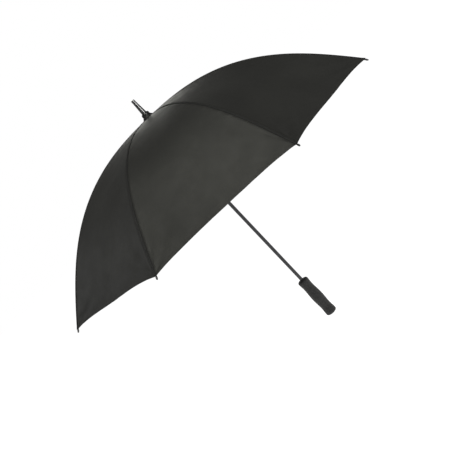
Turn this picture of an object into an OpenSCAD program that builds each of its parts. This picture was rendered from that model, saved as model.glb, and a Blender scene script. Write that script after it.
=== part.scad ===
// Golf umbrella, shown open. Millimetres, +Z from the handle up to the ferrule.
// The origin is the middle of the hand grip, on the shaft's axis.

/* [Canopy] */
// Length of a rib along its curve, from the shaft's axis to its tip
rib_arc = 762; // [700:1:800]
// Number of ribs and gores
rib_count = 8; // [8:1:8]
// Slope of the canopy at the hub, in degrees below level
hub_slope = 1.5; // [1:0.5:4]
// Slope of the canopy at the tips, in degrees below level
tip_slope = 48.5; // [44:0.5:50]
// How early the ribs start to curve, less is earlier
slope_power = 0.88; // [0.85:0.01:0.95]
// How far the hem rises in the middle of a gore
hem_rise = 15; // [8:1:24]
// Thickness of the cloth
cloth_t = 0.5; // [0.5:0.1:0.7]

/* [Shaft and handle] */
// Height of the canopy's top above the middle of the grip
apex_z = 835; // [800:1:860]
// Radius of the shaft tube
shaft_r = 6; // [6:0.5:6]
// Wall of the shaft tube
shaft_wall = 0.8; // [0.6:0.1:0.8]
// Length of the hand grip
grip_l = 157; // [140:1:170]
// Radius of the grip at its swell
grip_r = 20.6; // [20:0.1:21]
// Radius of the grip at its two waists
grip_waist_r = 18.4; // [18:0.1:19]
// Radius of the grip at its two ends
grip_end_r = 20; // [19.5:0.1:20.5]
// Height of the ferrule above the canopy's top
ferrule_h = 75; // [60:1:80]
// Radius of the straight end of the ferrule
ferrule_tip_r = 6.3; // [6:0.1:6.5]
// Radius of the ferrule where it enters the cap
ferrule_base_r = 8.8; // [8:0.1:9]

/* [Frame] */
// Distance along the rib from the axis to the stretcher joint
stretcher_at = 330; // [320:1:340]
// Distance along the rib from the axis to the point where it flexes
flex_at = 344; // [342:1:350]
// Width of a rib
rib_w = 3.6; // [3.4:0.1:3.6]
// Depth of a rib
rib_h = 4; // [3.8:0.1:4]
// Radius of the ring on which the ribs and the stretchers pivot
pivot_r = 12; // [12:0.5:12]
// Length of the runner below its slotted ring
runner_l = 62; // [50:1:70]

/* [Hidden] */
$fn = 64;
gap = 0.3;
half_gore = 180 / rib_count;

// Canopy profile: the slope grows smoothly from the hub to the tip, and its sum is the curve.
steps = 48;
step_l = rib_arc / steps;
function slope(s) =
    hub_slope + (tip_slope - hub_slope) * pow(sin(90 * pow(min(1, max(0, s / rib_arc)), slope_power)), 2);
profile = [for (i = 0, r = 0, z = 0; i <= steps;
                r = r + step_l * cos(slope((i + 0.5) * step_l)),
                z = z - step_l * sin(slope((i + 0.5) * step_l)),
                i = i + 1) [r, z]];
radius_table = [for (i = [0:steps]) [i * step_l, profile[i][0]]];
height_table = [for (i = [0:steps]) [i * step_l, profile[i][1]]];
arc_table = [for (i = [0:steps]) [profile[i][0], i * step_l]];
// A point on the profile at arc length s, moved by d along the inward normal, as [radius, height]
function along(s, d = 0) =
    [lookup(s, radius_table) - d * sin(slope(s)), apex_z + lookup(s, height_table) - d * cos(slope(s))];
function arc_at(r) = lookup(r, arc_table);

// Rib: centre line just under the cloth, which slopes away on both sides of it
cloth_gap = 0.95;
rib_drop = cloth_t + cloth_gap + rib_h / 2;
flute_w = 2.3;
flute_h = 3;
eye_solid = 22;
knuckle_r = rib_h / 2;
hub_point = along(pivot_r, rib_drop);
stretcher_point = along(stretcher_at, rib_drop);
flex_point = along(flex_at, rib_drop);

// Stretcher: as long as the stretch of rib that it props, so both make one angle with the shaft
stretcher_l = norm(stretcher_point - hub_point);
runner_drop = 2 * (hub_point[1] - stretcher_point[1]);
runner_z = hub_point[1] - runner_drop;
foot_r = hub_point[0];
stretcher_rise = atan2(stretcher_point[1] - runner_z, stretcher_point[0] - foot_r);
channel_w = 6.2;
channel_in_w = 4.8;
channel_low = -2;
channel_high = 4;
web_t = 0.8;
tongue_w = 3;
tongue_l = 60;
tongue_deep = 28;
fork_l = 20;
eye_r = 2.2;
fork_eye_r = 2;
rivet_r = 1;
running = 0.05;
wire_r = 0.6;
wire_play = 0.2;

// Cap on the hub
cap_z = 8.8;
cap_r = 14.4;

// Hub and runner
sleeve_r = 9.3;
ring_r = 15;
rib_slot = rib_w + 0.6;
tongue_slot = tongue_w + 0.6;
runner_bore = shaft_r + running;
groove_w = 3;
groove_r = 8.6;

// Catches: thin springs that stand out of the shaft's slots on its +Y side
catch_t = 1.6;
catch_h = 30;
catch_out = 2.3;
top_catch_z = runner_z - runner_l - 0.6;
bottom_catch_z = 165;

// Tips
tip_l = 8;
tip_r = 3.2;
tip_pocket = 5;

// Cloth sectors
cloth_start = 17;
cloth_end = rib_arc - tip_l - 0.5;
split_r = along(flex_at)[0];
seam_gap = 0.2;
split_gap = 1.6;

// ---------- shaft group ----------

module shaft() {
    color([0.16, 0.16, 0.17])
    difference() {
        translate([0, 0, -60]) cylinder(r = shaft_r, h = 60 + apex_z + 30);
        translate([0, 0, -61]) cylinder(r = shaft_r - shaft_wall, h = 60 + apex_z + 32);
        for (z = [top_catch_z, bottom_catch_z])
            translate([-catch_t / 2 - gap, 0, z - catch_h - 0.6])
                cube([catch_t + 2 * gap, shaft_r + 1, catch_h + 1.2]);
        stop_hole(shaft_r + 1);
    }
}

module stop_hole(half) {
    translate([-half, 0, runner_z + 12]) rotate([0, 90, 0]) cylinder(r = 1.2, h = 2 * half);
}

module stop_pin() {
    color([0.6, 0.6, 0.62]) stop_hole(7.4);
}

module ferrule() {
    land = 10;
    color([0.07, 0.07, 0.08])
    translate([0, 0, apex_z])
    rotate_extrude()
        polygon([[shaft_r, cap_z], [ferrule_base_r, cap_z], [ferrule_base_r, cap_z + 12],
                 [ferrule_tip_r, ferrule_h - land], [ferrule_tip_r, ferrule_h - 0.8],
                 [ferrule_tip_r - 0.8, ferrule_h], [0, ferrule_h], [0, 30], [shaft_r, 30]]);
}

module top_cap() {
    crown_r = 5;
    crown_z = cap_z + 5.2;
    color([0.06, 0.06, 0.07])
    translate([0, 0, apex_z])
    rotate_extrude()
        difference() {
            union() {
                polygon([[0, cap_z], [cap_r - 0.5, cap_z], [cap_r, cap_z + 1.2], [cap_r, crown_z], [0, crown_z]]);
                translate([cap_r - crown_r, crown_z]) circle(r = crown_r);
                translate([0, crown_z]) square([cap_r - crown_r, crown_r]);
            }
            translate([-20, 0]) square([20, 40]);
            square([ferrule_base_r, 40]);
        }
}

// Flared skirt that covers the hole in the middle of the cloth
module rosette() {
    color([0.05, 0.05, 0.055])
    translate([0, 0, apex_z])
    rotate_extrude()
        polygon([[shaft_r, 0], [21, 0], [21.4, 0.5], [20.2, 1.6], [17.2, 4.8], [15.1, 7.2],
                 [cap_r, cap_z], [shaft_r, cap_z]]);
}

module slotted_ring(low, high, slot, wire) {
    difference() {
        translate([0, 0, low]) cylinder(r = ring_r, h = high - low);
        for (k = [1:rib_count])
            rotate([0, 0, rib_azimuth(k)])
                translate([sleeve_r, -slot / 2, low - 1]) cube([ring_r, slot, high - low + 2]);
        if (wire) rotate_extrude() translate([foot_r, 0]) circle(r = wire_r, $fn = 24);
    }
}

module top_notch() {
    color([0.1, 0.1, 0.1])
    translate([0, 0, hub_point[1]])
    difference() {
        union() {
            slotted_ring(-5, 2.6, rib_slot, true);
            translate([0, 0, -14]) cylinder(r = sleeve_r, h = 12);
        }
        translate([0, 0, -20]) cylinder(r = shaft_r, h = 30);
    }
}

module notch_wire() {
    color([0.7, 0.7, 0.72])
    translate([0, 0, hub_point[1]]) rotate_extrude() translate([foot_r, 0]) circle(r = wire_r, $fn = 24);
}

// Radius of the grip at height z: smooth waves between its shoulders, waists and swell
grip_stations = [[-grip_l * 0.43, grip_end_r], [-grip_l * 0.29, grip_waist_r + 0.2], [0, grip_r],
                 [grip_l * 0.31, grip_waist_r], [grip_l * 0.46, grip_end_r]];
function wave(a, b, t) = a + (b - a) * (1 - cos(180 * t)) / 2;
function grip_at(z, i = 0) =
    z <= grip_stations[0][0] ? grip_stations[0][1] :
    z >= grip_stations[4][0] ? grip_stations[4][1] :
    z <= grip_stations[i + 1][0]
        ? wave(grip_stations[i][1], grip_stations[i + 1][1],
               (z - grip_stations[i][0]) / (grip_stations[i + 1][0] - grip_stations[i][0]))
        : grip_at(z, i + 1);
core_r = 10;
grip_floor = 7;
foot_round = 7;
neck_round = 6;

module grip() {
    low = -grip_l / 2;
    high = grip_l / 2;
    foot_in = grip_end_r - foot_round;
    neck_in = grip_end_r - neck_round;
    color([0.13, 0.13, 0.13])
    rotate_extrude()
        polygon(concat(
            [[0, low]],
            [for (a = [-90:15:0]) [foot_in + foot_round * cos(a), low + foot_round + foot_round * sin(a)]],
            [for (z = [low + foot_round + 4:4:high - neck_round - 2]) [grip_at(z), z]],
            [for (a = [0:15:75]) [neck_in + neck_round * cos(a), high - neck_round + neck_round * sin(a)]],
            [[core_r, high], [core_r, low + grip_floor], [0, low + grip_floor]]));
}

module handle_core() {
    color([0.2, 0.2, 0.2])
    difference() {
        translate([0, 0, -grip_l / 2 + grip_floor]) cylinder(r = core_r, h = grip_l - grip_floor + 2);
        translate([0, 0, -60]) cylinder(r = shaft_r, h = grip_l);
    }
}

// ---------- runner and catches ----------

module runner() {
    color([0.12, 0.12, 0.12])
    translate([0, 0, runner_z])
    difference() {
        union() {
            slotted_ring(-3, 3, tongue_slot, false);
            translate([0, 0, -runner_l]) cylinder(r = sleeve_r, h = runner_l + 8);
        }
        translate([0, 0, -runner_l - 1]) cylinder(r = runner_bore, h = runner_l + 10);
        translate([-groove_w / 2, 0, -runner_l - 1]) cube([groove_w, groove_r, runner_l + 10]);
    }
}

// A wedge with its flat edge on top and its slope below, in a slot of the shaft
module catch_plate(top) {
    color([0.72, 0.72, 0.74])
    translate([catch_t / 2, 0, top])
    rotate([0, -90, 0])
    linear_extrude(height = catch_t)
        polygon([[0, -0.5], [0, shaft_r + catch_out], [-6, shaft_r + catch_out],
                 [-catch_h, shaft_r - 1], [-catch_h, -0.5]]);
}

module top_catch() {
    catch_plate(top_catch_z);
}

module bottom_catch() {
    catch_plate(bottom_catch_z);
}

// ---------- one rib's set, turned to its place ----------

function rib_azimuth(k) = -90 + half_gore + (k - 1) * 2 * half_gore;

// Side outline of the rib between two arc lengths and two depths below the cloth's outer face
function rib_outline(from, to, high, low) = let (n = max(2, round((to - from) / 30))) concat(
    [for (i = [0:n]) along(from + (to - from) * i / n, high)],
    [for (i = [n:-1:0]) along(from + (to - from) * i / n, low)]);

// Stands a side outline up in the rib's own plane
module upright(width) {
    rotate([90, 0, 0]) linear_extrude(height = width, center = true) children();
}

module rib_bar(from, to, flute_from) {
    high = rib_drop - rib_h / 2;
    low = rib_drop + rib_h / 2;
    difference() {
        upright(rib_w) polygon(rib_outline(from, to, high, low));
        upright(flute_w) polygon(rib_outline(flute_from, to + 1, low - flute_h, low + 1));
    }
}

module cross_barrel(at, r) {
    translate([at[0], 0, at[1]]) rotate([90, 0, 0]) cylinder(r = r, h = rib_w, center = true);
}

module pin_hole(at, r) {
    translate([at[0], 0, at[1]]) rotate([90, 0, 0]) cylinder(r = r, h = 20, center = true);
}

module rib_inner(k) {
    color([0.3, 0.3, 0.31])
    rotate([0, 0, rib_azimuth(k)])
    difference() {
        union() {
            rib_bar(pivot_r, flex_at - 0.5, pivot_r + eye_solid);
            cross_barrel(hub_point, eye_r);
            cross_barrel(flex_point, knuckle_r);
        }
        pin_hole(hub_point, wire_r + wire_play);
        pin_hole(stretcher_point, rivet_r + running);
    }
}

// Hollowed at its inner end to turn round the inner rib's knuckle
module rib_outer(k) {
    color([0.16, 0.16, 0.17])
    rotate([0, 0, rib_azimuth(k)])
    difference() {
        rib_bar(flex_at, rib_arc - tip_pocket, flex_at - 1);
        pin_hole(flex_point, knuckle_r + gap);
    }
}

module stretcher(k) {
    color([0.32, 0.32, 0.33])
    rotate([0, 0, rib_azimuth(k)])
    translate([foot_r, 0, runner_z])
    rotate([0, -stretcher_rise, 0]) {
        difference() {
            union() {
                // tongue with its eye in the runner's ring
                upright(tongue_w) {
                    circle(r = eye_r);
                    translate([0, channel_low]) square([tongue_l, -channel_low]);
                    translate([tongue_deep, channel_low]) square([tongue_l - tongue_deep, channel_high - channel_low]);
                }
                // channel, open below, whose two walls go on as the fork
                difference() {
                    upright(channel_w) translate([tongue_l - 8, channel_low])
                        square([stretcher_l - fork_l - tongue_l + 8, channel_high - channel_low]);
                    upright(channel_in_w) translate([tongue_l, channel_low - 1])
                        square([stretcher_l, channel_high - channel_low - web_t + 1]);
                }
                fork();
            }
            pin_hole([0, 0], wire_r + wire_play);
            pin_hole([stretcher_l, 0], rivet_r);
        }
        translate([stretcher_l, 0, 0]) rotate([90, 0, 0])
            cylinder(r = rivet_r, h = channel_w + 1, center = true);
    }
}

module fork() {
    wall = (channel_w - channel_in_w) / 2;
    for (side = [-1, 1])
        translate([0, side * (channel_in_w + wall) / 2, 0])
            upright(wall) {
                translate([stretcher_l - fork_l - 1, channel_low]) square([fork_l + 1, 4]);
                translate([stretcher_l, 0]) circle(r = fork_eye_r);
            }
}

module tip(k) {
    start = along(rib_arc - tip_l, rib_drop);
    color([0.05, 0.05, 0.055])
    rotate([0, 0, rib_azimuth(k)])
    translate([start[0], 0, start[1]])
    rotate([0, 90 + slope(rib_arc), 0])
    difference() {
        union() {
            cylinder(r = tip_r, h = tip_l - 1.5);
            translate([0, 0, tip_l - 1.5]) cylinder(r = tip_r - 0.8, h = 1.5);
        }
        translate([-rib_h / 2 - 0.1, -rib_w / 2 - 0.1, -1])
            cube([rib_h + 0.2, rib_w + 0.2, tip_pocket + 1.5]);
    }
}

// ---------- cloth ----------

// A point of one half of a sector: w is 0 on the rib and 1 on the gore's middle line
function cloth_point(s, w, depth, side) =
    let (p = along(s, depth),
         r = p[0],
         edge = w * (1 - seam_gap / (r * sin(half_gore))),
         x = r - edge * r * pow(sin(half_gore), 2),
         y = edge * r * sin(half_gore) * cos(half_gore))
    [x, side * y, p[1]];

// Arc length where a sector's crossing line, straight across the rib, meets the line w
function cross_arc(r, w) = arc_at(r / (1 - w * pow(sin(half_gore), 2)));

// Arc length of the hem, which rises in a smooth curve to the gore's middle line
function hem_arc(w) = cloth_end - hem_rise * (1 - pow(1 - w, 4));

// A closed thin shell over a grid of n strips along the rib and m across the half sector
module cloth_half(side, inner, n, m) {
    starts = [for (j = [0:m]) inner ? cloth_start : cross_arc(split_r + split_gap, j / m)];
    ends = [for (j = [0:m]) inner ? cross_arc(split_r - gap, j / m) : hem_arc(j / m)];
    function at(i, j, depth) =
        cloth_point(starts[j] + (ends[j] - starts[j]) * i / n, j / m, depth, side);
    cols = m + 1;
    layer = (n + 1) * cols;
    points = concat([for (i = [0:n], j = [0:m]) at(i, j, 0)],
                    [for (i = [0:n], j = [0:m]) at(i, j, cloth_t)]);
    function cell(a, b, c, d) = side > 0 ? [[a, b, c], [a, c, d]] : [[c, b, a], [d, c, a]];
    top = [for (i = [0:n - 1], j = [0:m - 1]) let (a = i * cols + j)
           each cell(a, a + 1, a + cols + 1, a + cols)];
    under = [for (i = [0:n - 1], j = [0:m - 1]) let (a = layer + i * cols + j)
             each cell(a, a + cols, a + cols + 1, a + 1)];
    long_sides = [for (i = [0:n - 1]) let (a = i * cols, b = i * cols + m)
                  each concat(cell(a, a + cols, layer + a + cols, layer + a),
                              cell(b, layer + b, layer + b + cols, b + cols))];
    short_sides = [for (j = [0:m - 1]) let (a = j, b = n * cols + j)
                   each concat(cell(a, layer + a, layer + a + 1, a + 1),
                               cell(b, b + 1, layer + b + 1, layer + b))];
    polyhedron(points, concat(top, under, long_sides, short_sides));
}

module cloth_sector(k, inner, n) {
    color([0.07, 0.07, 0.07])
    rotate([0, 0, rib_azimuth(k)])
        for (side = [-1, 1]) translate([0, side * 0.02, 0]) cloth_half(side, inner, n, 3);
}

// ---------- parts ----------

shaft();
ferrule();
top_cap();
rosette();
top_notch();
notch_wire();
stop_pin();
grip();
handle_core();
runner();
top_catch();
bottom_catch();
for (k = [1:rib_count]) {
    rib_inner(k);
    rib_outer(k);
    stretcher(k);
    tip(k);
    cloth_sector(k, true, 10);
    cloth_sector(k, false, 12);
}
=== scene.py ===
"""Golf umbrella, open: a sewn canopy on eight ribs, with its shaft, runner, ferrule and foam grip."""

import math

import bpy
import numpy as np
from mathutils import Matrix, Vector, noise

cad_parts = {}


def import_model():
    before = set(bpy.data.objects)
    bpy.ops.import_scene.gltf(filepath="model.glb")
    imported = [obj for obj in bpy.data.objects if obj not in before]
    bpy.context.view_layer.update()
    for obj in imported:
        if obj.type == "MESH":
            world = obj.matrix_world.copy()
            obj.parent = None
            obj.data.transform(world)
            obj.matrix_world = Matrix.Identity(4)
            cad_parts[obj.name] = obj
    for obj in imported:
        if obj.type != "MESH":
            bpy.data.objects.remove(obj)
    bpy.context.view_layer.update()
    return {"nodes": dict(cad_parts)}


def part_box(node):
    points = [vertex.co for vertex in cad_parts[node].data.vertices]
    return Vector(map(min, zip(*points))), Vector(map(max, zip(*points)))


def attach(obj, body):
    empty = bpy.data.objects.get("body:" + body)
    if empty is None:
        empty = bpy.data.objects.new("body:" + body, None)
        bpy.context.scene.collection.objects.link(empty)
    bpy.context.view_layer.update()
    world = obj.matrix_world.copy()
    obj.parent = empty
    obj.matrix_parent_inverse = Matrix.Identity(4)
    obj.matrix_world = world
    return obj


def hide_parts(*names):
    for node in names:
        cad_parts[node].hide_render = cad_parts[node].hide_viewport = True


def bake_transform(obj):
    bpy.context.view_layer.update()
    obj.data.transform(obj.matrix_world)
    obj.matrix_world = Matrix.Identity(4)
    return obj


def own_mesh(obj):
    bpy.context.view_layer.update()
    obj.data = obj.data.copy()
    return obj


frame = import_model()

# ---------- driving sizes, in metres and degrees ----------

RIBS = 8
HALF_GORE = math.pi / RIBS
RIB_ARC = 0.762  # along the canopy, from the shaft's axis to a rib's tip
HUB_SLOPE, TIP_SLOPE, SLOPE_POWER = 1.5, 48.5, 0.88
ROSETTE_H = 0.0088
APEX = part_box("rosette")[1][2] - ROSETTE_H  # where the ribs' curves meet on the axis
GRIP_LOW, GRIP_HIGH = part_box("grip")[0][2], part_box("grip")[1][2]
FERRULE_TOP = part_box("ferrule")[1][2]

# arc lengths from the axis, sections of the rib and the cloth's thickness
CLOTH_START = 0.0135
CLOTH_END = RIB_ARC - 0.0085
FLEX_AT = 0.344
HEM_RISE = 0.013  # in the middle of a gore
CLOTH_T = 0.00035
RIB_DROP = 0.00345  # from the cloth's face down to the rib's centre line
RIB_W, RIB_H = 0.0036, 0.004
HUB_AT = 0.012
TIP_L = 0.008

# the seam's folded allowance, which also bounds the painted seam shade, and its two rows of stitches,
# measured from the rib, and the hem's row from its edge
FOLD_SHADE_END, OPEN_UNSHADED_START = 0.0028, 0.0065
SEAM_STITCHES = (0.0022, 0.0052)
HEM_STITCH = 0.0075
THREAD, STITCH_RUN, STITCH_SHARE = 0.0004, 0.0032, 0.68
THREADS_PER_METRE = 3000

# ---------- canopy profile ----------

STEPS = 480
_s = np.linspace(0, RIB_ARC, STEPS + 1)


def slope(s):
    share = np.clip(np.asarray(s, float) / RIB_ARC, 0, 1) ** SLOPE_POWER
    return np.radians(HUB_SLOPE + (TIP_SLOPE - HUB_SLOPE) * np.sin(share * math.pi / 2) ** 2)


_mid = slope((_s[1:] + _s[:-1]) / 2)
_radius = np.concatenate([[0], np.cumsum(np.cos(_mid))]) * RIB_ARC / STEPS
_height = APEX - np.concatenate([[0], np.cumsum(np.sin(_mid))]) * RIB_ARC / STEPS


def along(s, depth=0.0):
    """Radius and height at arc length s, moved inward by depth."""
    a = slope(s)
    return np.interp(s, _s, _radius) - depth * np.sin(a), np.interp(s, _s, _height) - depth * np.cos(a)


def arc_at(radius):
    return np.interp(radius, _radius, _s)


def azimuth(k):
    return -math.pi / 2 + HALF_GORE + (k - 1) * 2 * HALF_GORE


def turn(points, k):
    """Turns points from the +X plane to rib k's plane."""
    c, s = math.cos(azimuth(k)), math.sin(azimuth(k))
    x, y, z = points[..., 0], points[..., 1], points[..., 2]
    return np.stack([x * c - y * s, x * s + y * c, z], -1)


# ---------- materials ----------


def material(name, base, rough, metallic=0.0, **inputs):
    """A Principled material. Returns it with its nodes, its links and its shader."""
    m = bpy.data.materials.new(name)
    m.use_nodes = True
    tree = m.node_tree
    shader = tree.nodes["Principled BSDF"]
    shader.inputs["Base Color"].default_value = (*base, 1)
    shader.inputs["Roughness"].default_value = rough
    shader.inputs["Metallic"].default_value = metallic
    for key, value in inputs.items():
        shader.inputs[key.replace("_", " ")].default_value = value
    return m, tree, shader


def node(tree, kind, **values):
    """A node with its settings, or its inputs where a name starts with a capital letter."""
    n = tree.nodes.new(kind)
    for key, value in values.items():
        if key[0].isupper():
            n.inputs[key.replace("_", " ")].default_value = value
        else:
            setattr(n, key, value)
    return n


def maths(tree, operation, a, b=None, clamp=False):
    n = node(tree, "ShaderNodeMath", operation=operation, use_clamp=clamp)
    for i, value in enumerate((a, b)):
        if value is None:
            continue
        if isinstance(value, (int, float)):
            n.inputs[i].default_value = value
        else:
            tree.links.new(value, n.inputs[i])
    return n.outputs[0]


def ramp(tree, factor, low, high, a=0.3, b=0.7):
    """Goes from colour low to colour high as factor goes from a to b."""
    n = node(tree, "ShaderNodeValToRGB")
    n.color_ramp.elements[0].position, n.color_ramp.elements[1].position = a, b
    n.color_ramp.elements[0].color = (*low, 1)
    n.color_ramp.elements[1].color = (*high, 1)
    tree.links.new(factor, n.inputs[0])
    return n.outputs[0]


def noise_at(tree, scale, detail=3.0, stretch=(1, 1, 1)):
    """Noise over the object, with scale in cycles per metre."""
    place = node(tree, "ShaderNodeTexCoord").outputs["Object"]
    if stretch != (1, 1, 1):
        mapping = node(tree, "ShaderNodeMapping", Scale=stretch)
        tree.links.new(place, mapping.inputs[0])
        place = mapping.outputs[0]
    n = node(tree, "ShaderNodeTexNoise", Scale=scale, Detail=detail)
    tree.links.new(place, n.inputs["Vector"])
    return n.outputs["Fac"]


def vary(tree, shader, factor, socket, low, high):
    """Drives a value socket between low and high."""
    n = node(tree, "ShaderNodeMapRange", To_Min=low, To_Max=high)
    tree.links.new(factor, n.inputs[0])
    tree.links.new(n.outputs[0], shader.inputs[socket])


def bump(tree, shader, height, distance, strength=1.0, base=None):
    n = node(tree, "ShaderNodeBump", Strength=strength, Distance=distance)
    tree.links.new(height, n.inputs["Height"])
    if base is not None:
        tree.links.new(base, n.inputs["Normal"])
    tree.links.new(n.outputs[0], shader.inputs["Normal"])
    return n.outputs[0]


def attribute(tree, name):
    return node(tree, "ShaderNodeAttribute", attribute_name=name).outputs["Fac"]


def cloth_material():
    """Black polyester: fine weave, soft sheen, faint creasing, stitches along the seams and the hem, and
    painted shade along each seam.
    """
    m, t, p = material("canopy_cloth", (0.02, 0.02, 0.019), 0.5,
                       Sheen_Weight=0.05, Sheen_Roughness=0.45, Sheen_Tint=(0.8, 0.8, 0.74, 1),
                       Specular_IOR_Level=0.35)
    across, length, hem = attribute(t, "across"), attribute(t, "length"), attribute(t, "hem")
    tone = ramp(t, noise_at(t, 5, 4), (0.0125, 0.0125, 0.0112), (0.019, 0.019, 0.0168))

    # a stitch shows where a dash along the line meets the thread's width
    def stitches(distance, at, run):
        off = maths(t, "ABSOLUTE", maths(t, "SUBTRACT", distance, at))
        line = maths(t, "LESS_THAN", off, THREAD)
        phase = maths(t, "FRACT", maths(t, "MULTIPLY", run, 1 / STITCH_RUN))
        return maths(t, "MULTIPLY", line, maths(t, "LESS_THAN", phase, STITCH_SHARE))

    side = maths(t, "ABSOLUTE", across)
    near, far = (stitches(side, at, length) for at in SEAM_STITCHES)
    sewn = maths(t, "ADD", maths(t, "ADD", near, far), stitches(hem, HEM_STITCH, across), clamp=True)
    # the folded allowance along each seam is duller, and its colour is painted near black as painted shade
    # for the seam's valley beside the rib
    open_cloth_past_shade = node(t, "ShaderNodeMapRange", From_Min=FOLD_SHADE_END, From_Max=OPEN_UNSHADED_START)
    t.links.new(side, open_cloth_past_shade.inputs[0])
    seam_shade_mix = node(t, "ShaderNodeMix", data_type="RGBA")
    t.links.new(open_cloth_past_shade.outputs[0], seam_shade_mix.inputs["Factor"])
    # painted shade: near-black colour along each seam, standing for the shade in the seam's valley
    seam_shade_mix.inputs["A"].default_value = (0.003, 0.003, 0.003, 1)
    t.links.new(tone, seam_shade_mix.inputs["B"])
    mix = node(t, "ShaderNodeMix", data_type="RGBA")
    t.links.new(sewn, mix.inputs["Factor"])
    t.links.new(seam_shade_mix.outputs["Result"], mix.inputs["A"])
    mix.inputs["B"].default_value = (0.02, 0.02, 0.019, 1)
    t.links.new(mix.outputs["Result"], p.inputs["Base Color"])
    gloss = maths(t, "SUBTRACT", noise_at(t, 22, 4), open_cloth_past_shade.outputs[0])
    vary(t, p, maths(t, "ADD", gloss, 1.0), "Roughness", 0.42, 0.58)

    # plain weave: two crossed sets of threads
    def threads(run):
        return maths(t, "SINE", maths(t, "MULTIPLY", run, 2 * math.pi * THREADS_PER_METRE))

    weave = maths(t, "MULTIPLY", threads(across), threads(length))
    height = maths(t, "ADD", maths(t, "MULTIPLY", weave, 0.15), sewn)
    creases = bump(t, p, noise_at(t, 60, 5), 0.0006, 0.35)
    bump(t, p, height, 0.0003, 0.5, creases)
    return m


def gloss_material():
    """Black chrome on a moulded piece, with faint wipe marks."""
    m, t, p = material("gloss_black", (0.06, 0.06, 0.06), 0.16, 0.85, Coat_Weight=0.6, Coat_Roughness=0.08)
    t.links.new(ramp(t, noise_at(t, 40, 3), (0.05, 0.05, 0.05), (0.07, 0.07, 0.07)), p.inputs["Base Color"])
    vary(t, p, noise_at(t, 90, 4), "Roughness", 0.12, 0.24)
    bump(t, p, noise_at(t, 300, 3), 0.00005, 0.2)
    return m


def ferrule_material():
    """Polished dark nickel, turned on a lathe."""
    m, t, p = material("ferrule_metal", (0.3, 0.3, 0.3), 0.2, 1.0, Coat_Weight=0.3, Coat_Roughness=0.1)
    t.links.new(ramp(t, noise_at(t, 70, 3), (0.26, 0.26, 0.255), (0.32, 0.32, 0.315)), p.inputs["Base Color"])
    vary(t, p, noise_at(t, 60, 3, (1, 1, 12)), "Roughness", 0.08, 0.16)
    bump(t, p, noise_at(t, 40, 2, (1, 1, 60)), 0.00004, 0.3)
    return m


def painted_material(name, base, rough, metallic, grain):
    """Painted or bare metal drawn along its length, or its turned face, with small flecks."""
    m, t, p = material(name, base, rough, metallic)
    low = tuple(0.8 * c for c in base)
    high = tuple(1.25 * c for c in base)
    t.links.new(ramp(t, noise_at(t, grain, 4), low, high), p.inputs["Base Color"])
    vary(t, p, noise_at(t, grain * 2.5, 4, (1, 1, 0.08)), "Roughness", rough * 0.8, rough * 1.25)
    bump(t, p, noise_at(t, grain * 8, 3, (1, 1, 0.1)), 0.00005, 0.3)
    return m


def plastic_material(name, low, high):
    """Black moulded plastic with a fine spark-eroded grain."""
    m, t, p = material(name, (high, high, high), 0.5)
    t.links.new(ramp(t, noise_at(t, 80, 4), (low, low, low), (high, high, high)), p.inputs["Base Color"])
    vary(t, p, noise_at(t, 300, 3), "Roughness", 0.42, 0.6)
    bump(t, p, noise_at(t, 1800, 3), 0.0001, 0.35)
    return m


def foam_material():
    """Closed-cell EVA foam: matt, finely pitted, a little paler where it is worn."""
    m, t, p = material("grip_foam", (0.02, 0.02, 0.02), 0.85, Sheen_Weight=0.12, Sheen_Roughness=0.6)
    tone = ramp(t, noise_at(t, 120, 5), (0.014, 0.014, 0.014), (0.028, 0.028, 0.027))
    t.links.new(tone, p.inputs["Base Color"])
    vary(t, p, noise_at(t, 200, 3), "Roughness", 0.78, 0.92)
    cells = node(t, "ShaderNodeTexVoronoi", Scale=900.0)
    t.links.new(node(t, "ShaderNodeTexCoord").outputs["Object"], cells.inputs["Vector"])
    soft = bump(t, p, noise_at(t, 350, 4), 0.0003, 0.5)
    bump(t, p, cells.outputs["Distance"], 0.0002, 0.6, soft)
    return m


CLOTH = cloth_material()
GLOSS = gloss_material()
FERRULE = ferrule_material()
SHAFT = painted_material("shaft_paint", (0.05, 0.05, 0.052), 0.3, 0.7, 60)
RIB = painted_material("rib_paint", (0.05, 0.05, 0.052), 0.38, 0.6, 80)
STEEL = painted_material("bright_steel", (0.55, 0.55, 0.56), 0.28, 1.0, 80)
PLASTIC = plastic_material("moulded_black", 0.018, 0.032)
SKIRT = plastic_material("rosette_black", 0.003, 0.006)
FOAM = foam_material()

# ---------- mesh helpers ----------


def new_object(name, points, faces, mat, smooth_angle=40, attributes=None):
    mesh = bpy.data.meshes.new(name)
    mesh.from_pydata([tuple(p) for p in np.asarray(points, float).reshape(-1, 3)], [], faces)
    mesh.polygons.foreach_set("use_smooth", [True] * len(mesh.polygons))
    for key, values in (attributes or {}).items():
        layer = mesh.attributes.new(key, "FLOAT", "POINT")
        layer.data.foreach_set("value", np.asarray(values, np.float32).ravel())
    mesh.update()
    mesh.validate()
    mesh.set_sharp_from_angle(angle=math.radians(smooth_angle))
    mesh.materials.append(mat)
    o = bpy.data.objects.new(name, mesh)
    bpy.context.scene.collection.objects.link(o)
    return o


def grid_faces(rows, cols, start=0, flip=False, closed=False):
    """Quads over a grid of points kept row by row. closed joins each row's last point to its first."""
    faces = []
    for i in range(rows - 1):
        for j in range(cols if closed else cols - 1):
            a, b = start + i * cols + j, start + i * cols + (j + 1) % cols
            quad = (a, b, b + cols, a + cols)
            faces.append(quad[::-1] if flip else quad)
    return faces


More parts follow.
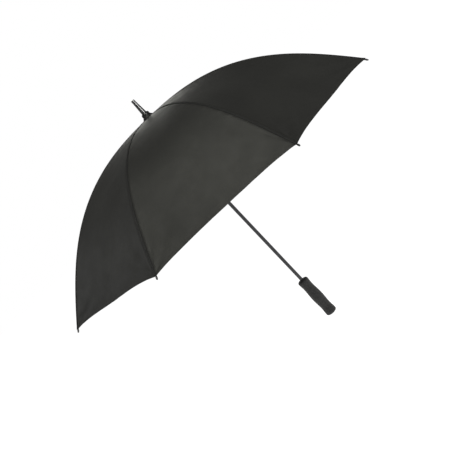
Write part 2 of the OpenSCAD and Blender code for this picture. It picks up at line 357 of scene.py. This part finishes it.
def lathe(name, outline, mat, centre=(0, 0, 0), tilt=None, sides=96, smooth_angle=35):
    """Turns an outline of (radius, height) points into a closed body. Its ends lie on the axis."""
    turns = np.linspace(0, 2 * math.pi, sides, endpoint=False)
    inner = outline[1:-1]
    rings = [[(r * math.cos(a), r * math.sin(a), z) for a in turns] for r, z in inner]
    points = np.array([p for ring in rings for p in ring] + [(0, 0, outline[0][1]), (0, 0, outline[-1][1])])
    faces = grid_faces(len(inner), sides, closed=True)
    low, high, last = len(points) - 2, len(points) - 1, (len(inner) - 1) * sides
    faces += [(low, (j + 1) % sides, j) for j in range(sides)]
    faces += [(high, last + j, last + (j + 1) % sides) for j in range(sides)]
    if tilt is not None:
        points = points @ np.array(tilt.to_3x3().transposed())
    return new_object(name, points + np.array(centre), faces, mat, smooth_angle)


def arc(cx, cz, r, a, b, n=6):
    """Points of a round from angle a to b, in degrees."""
    turns = np.radians(np.linspace(a, b, n))
    return [(cx + r * math.cos(t), cz + r * math.sin(t)) for t in turns]


# ---------- cloth ----------

# columns beside the seam and rows beside the hem, then even ones between
SEAM_OFFSETS = np.array([0.0, 0.0012, 0.0024, 0.0032, 0.0040, 0.0052, 0.0066, 0.0085, 0.0115, 0.016, 0.022])
SPREAD = 11
ROW_STEP = 0.0042
HEM_ROWS = np.array([0.014, 0.0115, 0.0102, 0.0092, 0.0084, 0.0065, 0.0045, 0.0025, 0.001, 0.0])


# how far each feature stands out of the plain curve of the cloth
SINK = 0.0045
SEAM_HEIGHT, STITCH_DIP = 0.0010, 0.0007
PUCKER, WAVE, PULL = 0.0011, 0.0030, 0.0035
HEM_HEIGHT, HEM_RIPPLE = 0.0003, 0.0008


def hem_arc(w):
    """Arc length of the hem, which rises from the tips to the middle of the gore."""
    return CLOTH_END - HEM_RISE * (1 - (1 - np.abs(w)) ** 4)


def cross_arc(radius, w):
    """Arc length where a line straight across the rib at this radius meets the line w."""
    return arc_at(radius / (1 - np.abs(w) * math.sin(HALF_GORE) ** 2))


def smooth(x, a, b):
    t = np.clip((x - a) / (b - a), 0, 1)
    return t * t * (3 - 2 * t)


def noise_over(points, scale, seed):
    shift = Vector((seed * 7.3, seed * 3.1, seed * 5.7))
    flat = points.reshape(-1, 3)
    return np.array([noise.noise(Vector(p) * scale + shift) for p in flat]).reshape(points.shape[:-1])


def cloth_grid(k, inner):
    """Arc length s and share w across the half gore, from -1 to 1, for each point of a sector."""
    split = float(along(FLEX_AT)[0])
    tail = np.linspace(0, 1, SPREAD + 1)[1:]
    count = int((split if inner else RIB_ARC - FLEX_AT) / ROW_STEP)
    rows_s, rows_w = [], []
    guess = np.concatenate([-tail[::-1], np.zeros(2 * len(SEAM_OFFSETS) - 1), tail])
    w = guess
    shares = np.linspace(0, 1, count)
    for i in range(count + (0 if inner else len(HEM_ROWS) - 1)):
        # w depends on the row's radius, which depends on s, so it's worked out twice
        for _ in range(2):
            low = np.full_like(w, CLOTH_START) if inner else cross_arc(split, w)
            high = cross_arc(split, w) if inner else hem_arc(w) - HEM_ROWS[0]
            s = low + (high - low) * shares[min(i, count - 1)]
            if i >= count:
                s = hem_arc(w) - HEM_ROWS[i - count + 1]
            middle = np.interp(s[len(w) // 2], _s, _radius)
            half = middle * math.sin(HALF_GORE)
            near = SEAM_OFFSETS * min(1.0, half / 0.045) / half
            far = near[-1] + (1 - near[-1]) * tail
            right = np.concatenate([near, far])
            w = np.concatenate([-right[:0:-1], right])
        rows_s.append(s)
        rows_w.append(w)
    return np.array(rows_s), np.array(rows_w)


def cloth_sector(k, inner):
    """One rib's share of the cloth, out to the middle of the gore on both sides."""
    s, w = cloth_grid(k, inner)
    r, z = along(s)
    half = r * math.sin(HALF_GORE)
    base = np.stack([r - np.abs(w) * half * math.sin(HALF_GORE), w * half * math.cos(HALF_GORE), z], -1)
    ds, dw = np.gradient(base, axis=0), np.gradient(base, axis=1)
    normal = np.cross(ds, dw)
    normal /= np.linalg.norm(normal, axis=-1, keepdims=True)
    across = w * half
    side = np.abs(across)
    hem = hem_arc(w) - s
    world = turn(base, k)
    # cloth stretched between the ribs sinks a little in the middle of each gore
    sink = -SINK * (1 - (1 - np.abs(w)) ** 2) * smooth(s, 0.03, 0.35)
    # the seam's felled allowance stands over the rib, with the stitching drawn in beside it
    scale = np.minimum(1, half / 0.03)
    dip = STITCH_DIP * np.exp(-((side - 0.0054) / 0.0014) ** 2)
    felled = (SEAM_HEIGHT * (1 - smooth(side, 0.0028, 0.0042)) - dip) * scale
    # puckers where the thread gathers the cloth
    run = np.stack([(s + 0.7 * side) * 62, np.sign(w) * 3 + k, np.zeros_like(s)], -1)
    beside = np.exp(-side / 0.016) * (1 - np.exp(-side / 0.004)) * scale
    gather = noise_over(run, 1.0, 11) * PUCKER * beside
    # slow waves of the cloth, and pulls that run from each tip into the gore
    slow = noise_over(world, 7.0, 3) * WAVE * (1 - np.exp(-side / 0.05)) * smooth(s, 0.05, 0.25)
    to_tip = np.hypot(side, CLOTH_END - s)
    angle = np.arctan2(side, CLOTH_END - s)
    pull = np.stack([angle * 5, np.sign(w) * 2 + k, np.zeros_like(s)], -1)
    reach = np.exp(-((to_tip - 0.07) / 0.07) ** 2) * smooth(side, 0, 0.02)
    pulls = noise_over(pull, 1.0, 5) * PULL * reach
    # turned hem, with its own small ripple
    ripple = HEM_RIPPLE * noise_over(world, 45.0, 8) * np.exp(-hem / 0.012)
    turned = HEM_HEIGHT * (1 - smooth(hem, 0.0085, 0.0102)) + ripple
    if inner:
        turned = 0 * s
        pulls = 0 * s
    height = sink + felled + gather + slow + pulls + turned
    outer_face = turn(base + normal * height[..., None], k)
    inner_face = turn(base + normal * (height - CLOTH_T)[..., None], k)
    spans = np.linalg.norm(np.cross(ds, dw), axis=-1)
    middle = s.shape[1] // 2
    for sign, name, take in ((-1, "left", slice(0, middle + 1)), (1, "right", slice(middle, None))):
        part = [values[:, take] for values in (outer_face, inner_face, across, s, hem, half, spans)]
        half_sector(k, inner, sign, name, *part)


def half_sector(k, inner, sign, name, outer_face, inner_face, across, s, hem, half, spans):
    """One side of a sector, from its rib to the middle of the gore, as a closed sheet."""
    rows, cols = s.shape
    points = np.concatenate([outer_face.reshape(-1, 3), inner_face.reshape(-1, 3)])
    layer = rows * cols
    faces = grid_faces(rows, cols, flip=False) + grid_faces(rows, cols, layer, flip=True)
    loop = [j for j in range(cols)] + [i * cols + cols - 1 for i in range(1, rows)]
    loop += [(rows - 1) * cols + j for j in range(cols - 2, -1, -1)]
    loop += [i * cols for i in range(rows - 2, 0, -1)]
    faces += [(b, a, layer + a, layer + b) for a, b in zip(loop, loop[1:] + loop[:1])]
    kind = "inner" if inner else "outer"
    from_hem = hem + 1 if inner else hem
    measures = {"across": across, "length": s, "hem": from_hem}
    measures = {key: np.concatenate([values.ravel()] * 2) for key, values in measures.items()}
    o = new_object(f"cloth_{kind}_{k}_{name}", points, faces, CLOTH, 50, measures)
    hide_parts(f"canopy_{kind}_{k}")
    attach(o, f"rib_{kind}_{k}")
    fold_to_rib(o, inner)


def fold_to_rib(o, inner):
    """Gives the sheet its own copy of its mesh."""
    kind, joint = ("inner", "rib_fold") if inner else ("outer", "rib_flex")
    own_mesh(o)


# ---------- ribs, tips ----------


def rib(k):
    """One springy rod with a flute along its underside, and an eye on the notch's wire."""
    start, end = HUB_AT + 0.0015, RIB_ARC - 0.005
    s = np.concatenate([np.linspace(start, 0.06, 12), np.linspace(0.07, end, 70)])
    w, h = RIB_W / 2, RIB_H / 2
    bevel, flute_r, flute_floor = 0.0007, 0.0011, 0.0008
    points = []
    for value in s:
        deep = 0.003 * float(smooth(value, 0.034, 0.05)) + 0.00005
        side = [(w - bevel, -h), (w, -h + bevel), (w, h - bevel / 2), (w - bevel / 2, h), (flute_r, h),
                (flute_floor, h - deep)]
        # the section, from its lower left corner round to the flute and back
        outline = [(-w, -h + bevel), (-w + bevel, -h), *side, *[(-y, d) for y, d in side[:1:-1]]]
        for y, d in outline:
            r, z = along(value, RIB_DROP + d)
            points.append((float(r), y, float(z)))
    cols = len(outline)
    faces = grid_faces(len(s), cols, closed=True, flip=True)
    last = (len(s) - 1) * cols
    faces += [tuple(range(cols)), tuple(range(last + cols - 1, last - 1, -1))]
    # the eye: a short tube across the rib
    hub_r, hub_z = (float(v) for v in along(HUB_AT, RIB_DROP))
    first, n, bore, eye = len(points), 28, 0.00068, 0.00225
    for y, radius in ((-w, bore), (-w, eye), (w, eye), (w, bore)):
        for j in range(n):
            a = 2 * math.pi * j / n
            points.append((hub_r + radius * math.cos(a), y, hub_z + radius * math.sin(a)))
    for i in range(4):
        for j in range(n):
            a, b = first + i * n + j, first + i * n + (j + 1) % n
            ahead = first + (i + 1) % 4 * n
            faces.append((a, b, ahead + (j + 1) % n, ahead + j))
    o = new_object(f"rib_{k}", turn(np.array(points), k), faces, RIB, 30)
    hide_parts(f"rib_inner_{k}", f"rib_outer_{k}")
    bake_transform(o)


def tip(k):
    """Moulded end cap: a collar on the rib, a slim neck and a rounded end."""
    r, z = (float(v) for v in along(RIB_ARC - TIP_L, RIB_DROP))
    lean = Matrix.Rotation(azimuth(k), 4, "Z") @ Matrix.Rotation(math.pi / 2 + float(slope(RIB_ARC)), 4, "Y")
    outline = [(0, -0.0004), (0.0026, -0.0004), (0.0029, 0.0002), (0.0031, 0.0018), (0.0031, 0.0030),
               (0.0027, 0.0038), (0.0025, 0.0050)]
    outline += arc(0.0008, TIP_L - 0.0019, 0.0018, 0, 85, 6) + [(0, TIP_L - 0.0001)]
    centre = Matrix.Rotation(azimuth(k), 4, "Z") @ Vector((r, 0, z))
    o = lathe(f"rib_tip_{k}", outline, GLOSS, centre, lean, 40, 45)
    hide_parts(f"tip_{k}")
    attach(o, f"rib_outer_{k}")


# ---------- top fittings and grip ----------


def top_fittings():
    """Ferrule, cap and flared rosette, each turned round the shaft's axis."""
    base = (0, 0, APEX)
    land = FERRULE_TOP - APEX
    root_r, tip_r, edge = 0.0088, 0.0063, 0.0012
    ferrule = [(0, ROSETTE_H), (root_r, ROSETTE_H), (root_r, 0.0208), (0.0086, 0.0230), (0.0076, 0.0420),
               (0.0066, 0.0600), (tip_r, 0.0660), (tip_r, land - edge)]
    ferrule += arc(tip_r - edge, land - edge, edge, 0, 90, 6)
    ferrule += [(0.0040, land), (0.0035, land - edge), (0, land - 0.0014)]
    o = lathe("ferrule_point", ferrule, FERRULE, base)
    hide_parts("ferrule")
    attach(o, "shaft_group")
    cap_r, shoulder = 0.0144, 0.0050
    cap = [(0, ROSETTE_H), (0.0139, ROSETTE_H), (0.0143, 0.0094), (cap_r, 0.0110), (cap_r, 0.0140)]
    cap += arc(cap_r - shoulder, 0.0140, shoulder, 5, 62, 8)
    cap += [(0.0110, 0.0187), (0.0104, 0.0190), (0.0103, 0.0195)]
    cap += arc(0.0097, 0.0195, 0.0006, 20, 90, 4) + [(0, 0.0201)]
    o = lathe("cap_dome", cap, GLOSS, base)
    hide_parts("top_cap")
    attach(o, "shaft_group")
    skirt = [(0, -0.0004), (0.0200, -0.0006), (0.0210, -0.0006), (0.0214, -0.0002), (0.0214, 0.0004),
             (0.0206, 0.0012), (0.0190, 0.0027), (0.0172, 0.0048), (0.0157, 0.0068), (0.0147, 0.0082),
             (0.0145, ROSETTE_H), (0, ROSETTE_H)]
    o = lathe("cloth_rosette", skirt, SKIRT, base)
    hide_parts("rosette")
    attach(o, "shaft_group")


def grip():
    """Foam sleeve with two waists and a swell, rounded shoulders and a near-flat foot."""
    length = GRIP_HIGH - GRIP_LOW
    foot, neck = 0.0202, 0.0199
    stations = [(-0.43, foot), (-0.29, 0.0186), (0.0, 0.0206), (0.31, 0.0184), (0.46, neck)]

    def radius(z):
        share = z / length
        for (a, ra), (b, rb) in zip(stations, stations[1:]):
            if a <= share <= b:
                return ra + (rb - ra) * (1 - math.cos(math.pi * (share - a) / (b - a))) / 2
        return foot if share < 0 else neck

    foot_round, neck_round = 0.007, 0.006
    outline = [(0, GRIP_LOW)] + arc(foot - foot_round, GRIP_LOW + foot_round, foot_round, -90, 0, 12)
    outline += [(radius(z), z) for z in np.linspace(GRIP_LOW + 0.0085, GRIP_HIGH - 0.0075, 70)]
    outline += arc(neck - neck_round, GRIP_HIGH - neck_round, neck_round, 8, 90, 10)
    outline += [(0.0105, GRIP_HIGH), (0.0101, GRIP_HIGH - 0.001)]
    outline += [(0.0098, GRIP_HIGH - 0.0025), (0, GRIP_HIGH - 0.0025)]
    o = lathe("foam_grip", outline, FOAM, sides=128, smooth_angle=50)
    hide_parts("grip")
    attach(o, "shaft_group")


def dress_cad():
    """Materials for the CAD nodes that stay."""
    looks = {"shaft": SHAFT, "stop_pin": STEEL, "notch_wire": STEEL, "top_notch": PLASTIC, "runner": PLASTIC,
             "handle_core": PLASTIC, "top_catch": STEEL, "bottom_catch": STEEL}
    looks.update({f"stretcher_{k}": RIB for k in range(1, RIBS + 1)})
    for name, mat in looks.items():
        o = frame["nodes"][name]
        if not o.material_slots:
            o.data.materials.append(mat)
        for slot in o.material_slots:
            slot.material = mat


for k in range(1, RIBS + 1):
    cloth_sector(k, True)
    cloth_sector(k, False)
    rib(k)
    tip(k)
top_fittings()
grip()
dress_cad()

# ---------- floor, light and camera ----------


def stage():
    """A wide white floor, well below the umbrella."""
    size, floor_z = 40.0, GRIP_LOW - 0.95
    corners = [(-size, -size, floor_z), (size, -size, floor_z), (size, size, floor_z), (-size, size, floor_z)]
    m, t, p = material("floor_white", (0.9, 0.9, 0.9), 0.9,
                       Emission_Color=(1, 1, 1, 1), Emission_Strength=0.95)
    t.links.new(ramp(t, noise_at(t, 0.6, 2), (0.88, 0.88, 0.88), (0.92, 0.92, 0.92)), p.inputs["Base Color"])
    new_object("floor", corners, [(0, 1, 2, 3)], m)


def area_light(name, place, target, size, power, colour=(1, 1, 1)):
    data = bpy.data.lights.new(name, "AREA")
    data.shape, data.size, data.size_y = "RECTANGLE", size[0], size[1]
    data.energy, data.color = power, colour
    o = bpy.data.objects.new(name, data)
    o.location = place
    o.rotation_euler = (Vector(target) - Vector(place)).to_track_quat("-Z", "Y").to_euler()
    bpy.context.scene.collection.objects.link(o)


ROOM_LIGHT = 0.12


def world():
    """A white backdrop, in a dimmer room so that black cloth stays black."""
    w = bpy.data.worlds.new("studio")
    w.use_nodes = True
    t = w.node_tree
    back = t.nodes["Background"]
    back.inputs["Color"].default_value = (1, 1, 1, 1)
    dim = node(t, "ShaderNodeBackground", Color=(0.98, 0.98, 1, 1), Strength=ROOM_LIGHT)
    mix = node(t, "ShaderNodeMixShader")
    t.links.new(node(t, "ShaderNodeLightPath").outputs["Is Camera Ray"], mix.inputs[0])
    t.links.new(dim.outputs[0], mix.inputs[1])
    t.links.new(back.outputs[0], mix.inputs[2])
    t.links.new(mix.outputs[0], t.nodes["World Output"].inputs[0])
    bpy.context.scene.world = w


CAMERA_SIDE = math.radians(3.33)
CAMERA_TILT = math.radians(8.18)
CAMERA_ROLL = math.radians(43.61)
CAMERA_AWAY = 2.181
CAMERA_LENS = 58.4
AIM_RIGHT, AIM_NEAR, AIM_DOWN = -0.0614, 0.2777, 0.3943


def camera():
    """Looks a little down on the canopy's side, rolled so that the shaft runs down to the right."""
    right = Vector((math.cos(CAMERA_SIDE), math.sin(CAMERA_SIDE), 0))
    near = Vector((math.sin(CAMERA_SIDE), -math.cos(CAMERA_SIDE), 0))
    back = near * math.cos(CAMERA_TILT) + Vector((0, 0, math.sin(CAMERA_TILT)))
    up = back.cross(right)
    aim = right * AIM_RIGHT + near * AIM_NEAR + Vector((0, 0, APEX - AIM_DOWN))
    x = right * math.cos(CAMERA_ROLL) - up * math.sin(CAMERA_ROLL)
    y = right * math.sin(CAMERA_ROLL) + up * math.cos(CAMERA_ROLL)
    data = bpy.data.cameras.new("camera")
    data.sensor_width = 36
    data.lens = CAMERA_LENS
    data.clip_end = 200
    o = bpy.data.objects.new("camera", data)
    o.matrix_world = Matrix.Translation(aim + back * CAMERA_AWAY) @ Matrix((x, y, back)).transposed().to_4x4()
    bpy.context.scene.collection.objects.link(o)
    bpy.context.scene.camera = o


stage()
world()
camera()
area_light("key", (0.2, -3.4, 2.9), (0, 0, 0.65), (2.0, 1.6), 22, (1, 1, 0.88))
area_light("top", (0.0, -1.2, 3.2), (0, -0.3, 0.7), (1.2, 2.4), 28, (1, 1, 0.9))
area_light("back", (0.0, 4.2, 2.5), (0, 0, 0.83), (0.9, 2.0), 12.5, (1, 1, 0.93))
area_light("left", (-2.8, 1.2, 2.4), (-0.4, 0, 0.6), (1.0, 1.0), 4)
area_light("right", (2.8, 1.2, 2.4), (0.4, 0, 0.6), (1.0, 1.0), 1.5, (1, 1, 0.92))
area_light("streak", (1.5, -2.6, 1.15), (0, 0, 0.9), (0.7, 0.9), 11)
bpy.context.scene.view_settings.view_transform = "Standard"
